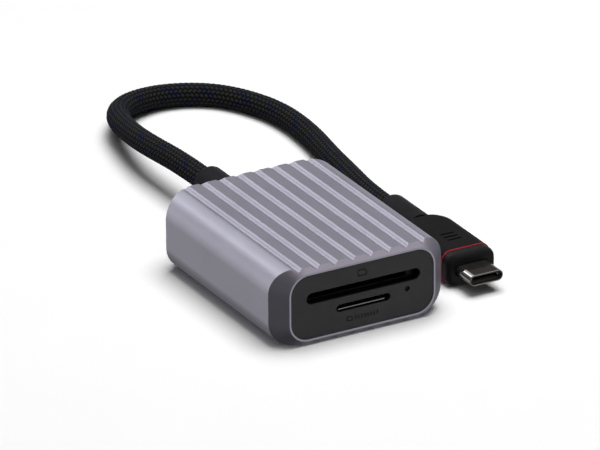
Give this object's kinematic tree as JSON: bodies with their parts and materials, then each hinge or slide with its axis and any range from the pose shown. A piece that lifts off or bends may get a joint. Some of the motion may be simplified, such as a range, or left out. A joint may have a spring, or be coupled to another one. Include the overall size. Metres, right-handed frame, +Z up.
{
  "type": "usb-c card reader",
  "caption": "Ribbed metal memory-card reader with a large and a small card slot and a short braided lead ending in a USB-C plug.",
  "frame": {"origin": "on the surface the reader stands on, below the middle of its housing (the lead and plug left out of the measure)", "axes": "+Z up, +Y from the card slots to the back where the lead leaves, +X to the right seen from the slots"},
  "size_m": [0.0633, 0.1297, 0.0181],
  "materials": {
    "anodised_aluminium": "bead-blasted, space-grey anodised",
    "face_plastic": "fine matte texture",
    "board_green": "solder mask",
    "chip_black": "moulded epoxy",
    "component_tin": "tinned",
    "ceramic_tan": "fired ceramic",
    "socket_plastic": "glass-filled nylon",
    "stamped_steel": "stamped",
    "contact_gold": "gold flash",
    "slider_plastic": "acetal",
    "spring_steel": "drawn wire",
    "led_lens": "clear resin",
    "light_guide": "smoked acrylic",
    "wire_cores": "PVC cores",
    "crimp_copper": "tinned copper",
    "collar_rubber": "soft moulded",
    "braided_sleeve": "black polyester braid with navy flecks",
    "plug_plastic": "soft-touch moulded",
    "band_red": "moulded ring",
    "nose_plastic": "satin moulded",
    "dark_nickel": "black nickel plated",
    "liner_plastic": "LCP liner"
  },
  "bodies": {
    "reader": {"housing_sleeve": "anodised_aluminium", "front_plate": "face_plastic", "rear_plate": "face_plastic", "main_board": "board_green", "controller_chip": "chip_black", "crystal_oscillator": "component_tin", "voltage_regulator": "chip_black", "chip_capacitors": "ceramic_tan", "chip_resistors": "chip_black", "status_led": "led_lens", "light_pipe": "light_guide", "sd_socket_base": "socket_plastic", "sd_socket_cover": "stamped_steel", "sd_contacts": "contact_gold", "sd_eject_spring": "spring_steel", "microsd_socket_base": "socket_plastic", "microsd_socket_cover": "stamped_steel", "microsd_contacts": "contact_gold", "microsd_eject_spring": "spring_steel", "cable_wires": "wire_cores", "cable_clamp": "crimp_copper", "body_strain_relief": "collar_rubber", "usb_cable": "braided_sleeve", "plug_strain_relief": "collar_rubber", "plug_overmould": "plug_plastic", "plug_band": "band_red", "plug_nose": "nose_plastic", "usb_c_shell": "dark_nickel", "usb_c_insulator": "liner_plastic", "usb_c_contacts": "contact_gold", "usb_c_side_latches": "stamped_steel", "plug_board": "board_green"},
    "sd_slider": {"sd_eject_slider": "slider_plastic"},
    "sd_latch": {"sd_latch_link": "spring_steel"},
    "microsd_slider": {"microsd_eject_slider": "slider_plastic"},
    "microsd_latch": {"microsd_latch_link": "spring_steel"}
  },
  "joints": [
    {"name": "sd_eject", "type": "slide", "parent": "reader", "child": "sd_slider", "axis": [0, 1, 0], "range_m": [0, 0.0042], "stiffness_N_per_m": 150, "springref_m": -0.002, "deforming": ["sd_eject_spring"]},
    {"name": "sd_latch_swing", "type": "hinge", "parent": "reader", "child": "sd_latch", "pos_m": [0.013, 0.0062, 0.01183], "axis": [0, 0, 1], "range_deg": [0, 1.2]},
    {"name": "microsd_eject", "type": "slide", "parent": "reader", "child": "microsd_slider", "axis": [0, 1, 0], "range_m": [0, 0.0032], "stiffness_N_per_m": 120, "springref_m": -0.0015, "deforming": ["microsd_eject_spring"]},
    {"name": "microsd_latch_swing", "type": "hinge", "parent": "reader", "child": "microsd_latch", "pos_m": [0.0064, -0.0087, 0.00696], "axis": [0, 0, 1], "range_deg": [0, 0.9]}
  ],
  "couplings": [
    {"joint": "sd_latch_swing", "follows": "sd_eject", "rad_per_m": 4.9},
    {"joint": "microsd_latch_swing", "follows": "microsd_eject", "rad_per_m": 4.8}
  ]
}
